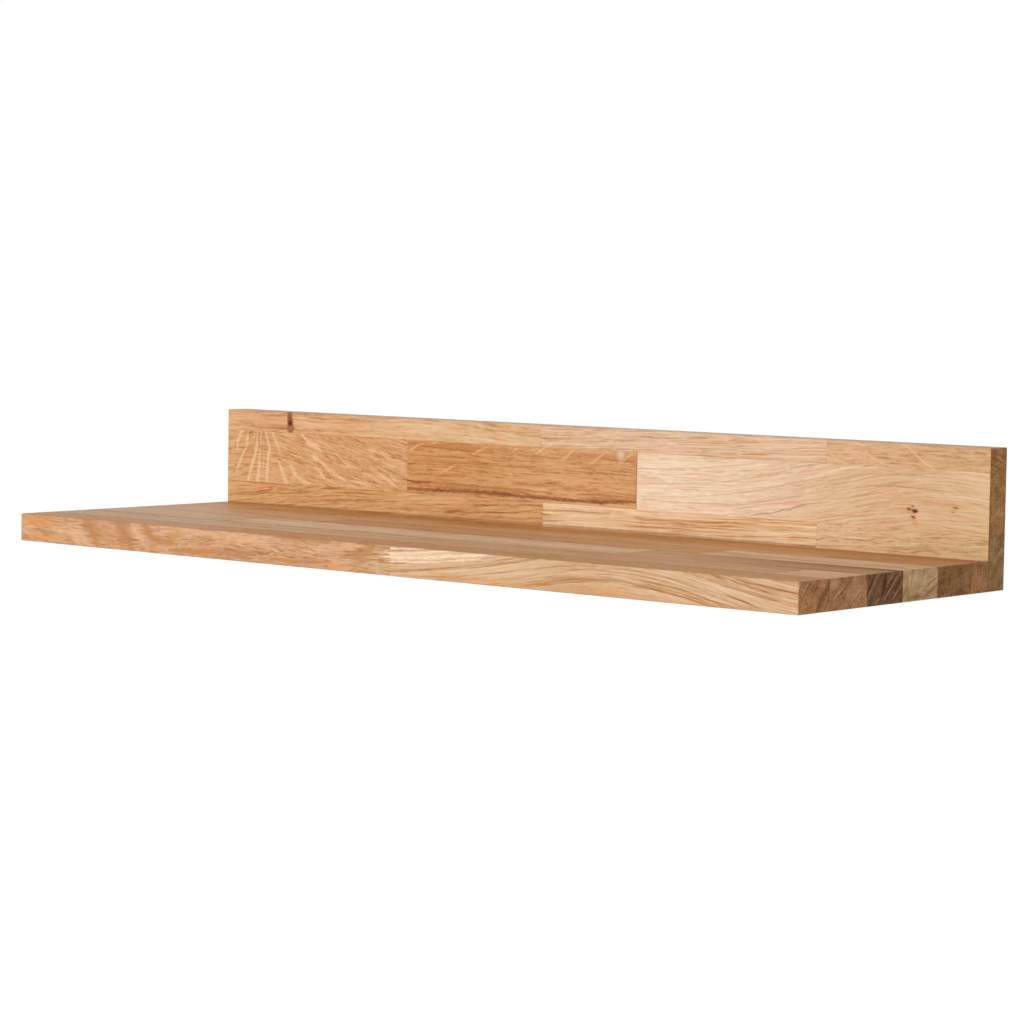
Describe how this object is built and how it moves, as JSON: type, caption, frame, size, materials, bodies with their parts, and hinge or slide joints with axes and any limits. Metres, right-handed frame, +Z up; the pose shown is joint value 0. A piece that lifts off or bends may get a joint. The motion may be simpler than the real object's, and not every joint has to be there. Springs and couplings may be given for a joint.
{
  "type": "floating wall shelf",
  "caption": "L-shaped floating wall shelf of finger-jointed solid oak staves, hung on hidden keyhole plates let into the rear of its low back board.",
  "frame": {"origin": "on the rear face that touches the wall, at mid length, at the height of the slot ends where the wall screws carry the shelf", "axes": "+X along the length to the right, +Y out of the rear face towards the wall, +Z up"},
  "size_m": [0.75, 0.25, 0.1],
  "materials": {
    "oak_honey": "oiled satin oak",
    "oak_pale": "oiled satin oak, pale stave",
    "oak_brown": "oiled satin oak, dark stave",
    "beech": "plain beech dowel",
    "hanger_steel": "zinc plated",
    "screw_steel": "zinc plated"
  },
  "bodies": {
    "root": {"back_row1_stave1": "oak_honey", "back_row1_stave2": "oak_pale", "back_row1_stave3": "oak_honey", "back_row2_stave1": "oak_honey", "back_row2_stave2": "oak_brown", "back_row2_stave3": "oak_pale", "back_row3_stave1": "oak_honey", "back_row3_stave2": "oak_pale", "back_row3_stave3": "oak_honey", "hanger_plate_left": "hanger_steel", "hanger_plate_right": "hanger_steel", "hanger_screws": "screw_steel", "joint_dowels": "beech", "shelf_row1_stave1": "oak_honey", "shelf_row1_stave2": "oak_pale", "shelf_row2_stave1": "oak_honey", "shelf_row2_stave2": "oak_honey", "shelf_row2_stave3": "oak_pale", "shelf_row3_stave1": "oak_honey", "shelf_row3_stave2": "oak_pale", "shelf_row3_stave3": "oak_brown", "shelf_row4_stave1": "oak_honey", "shelf_row4_stave2": "oak_honey", "shelf_row4_stave3": "oak_pale", "shelf_row5_stave1": "oak_honey", "shelf_row5_stave2": "oak_brown", "shelf_row5_stave3": "oak_honey", "shelf_row6_stave1": "oak_honey", "shelf_row6_stave2": "oak_brown", "shelf_row6_stave3": "oak_honey"}
  },
  "joints": []
}
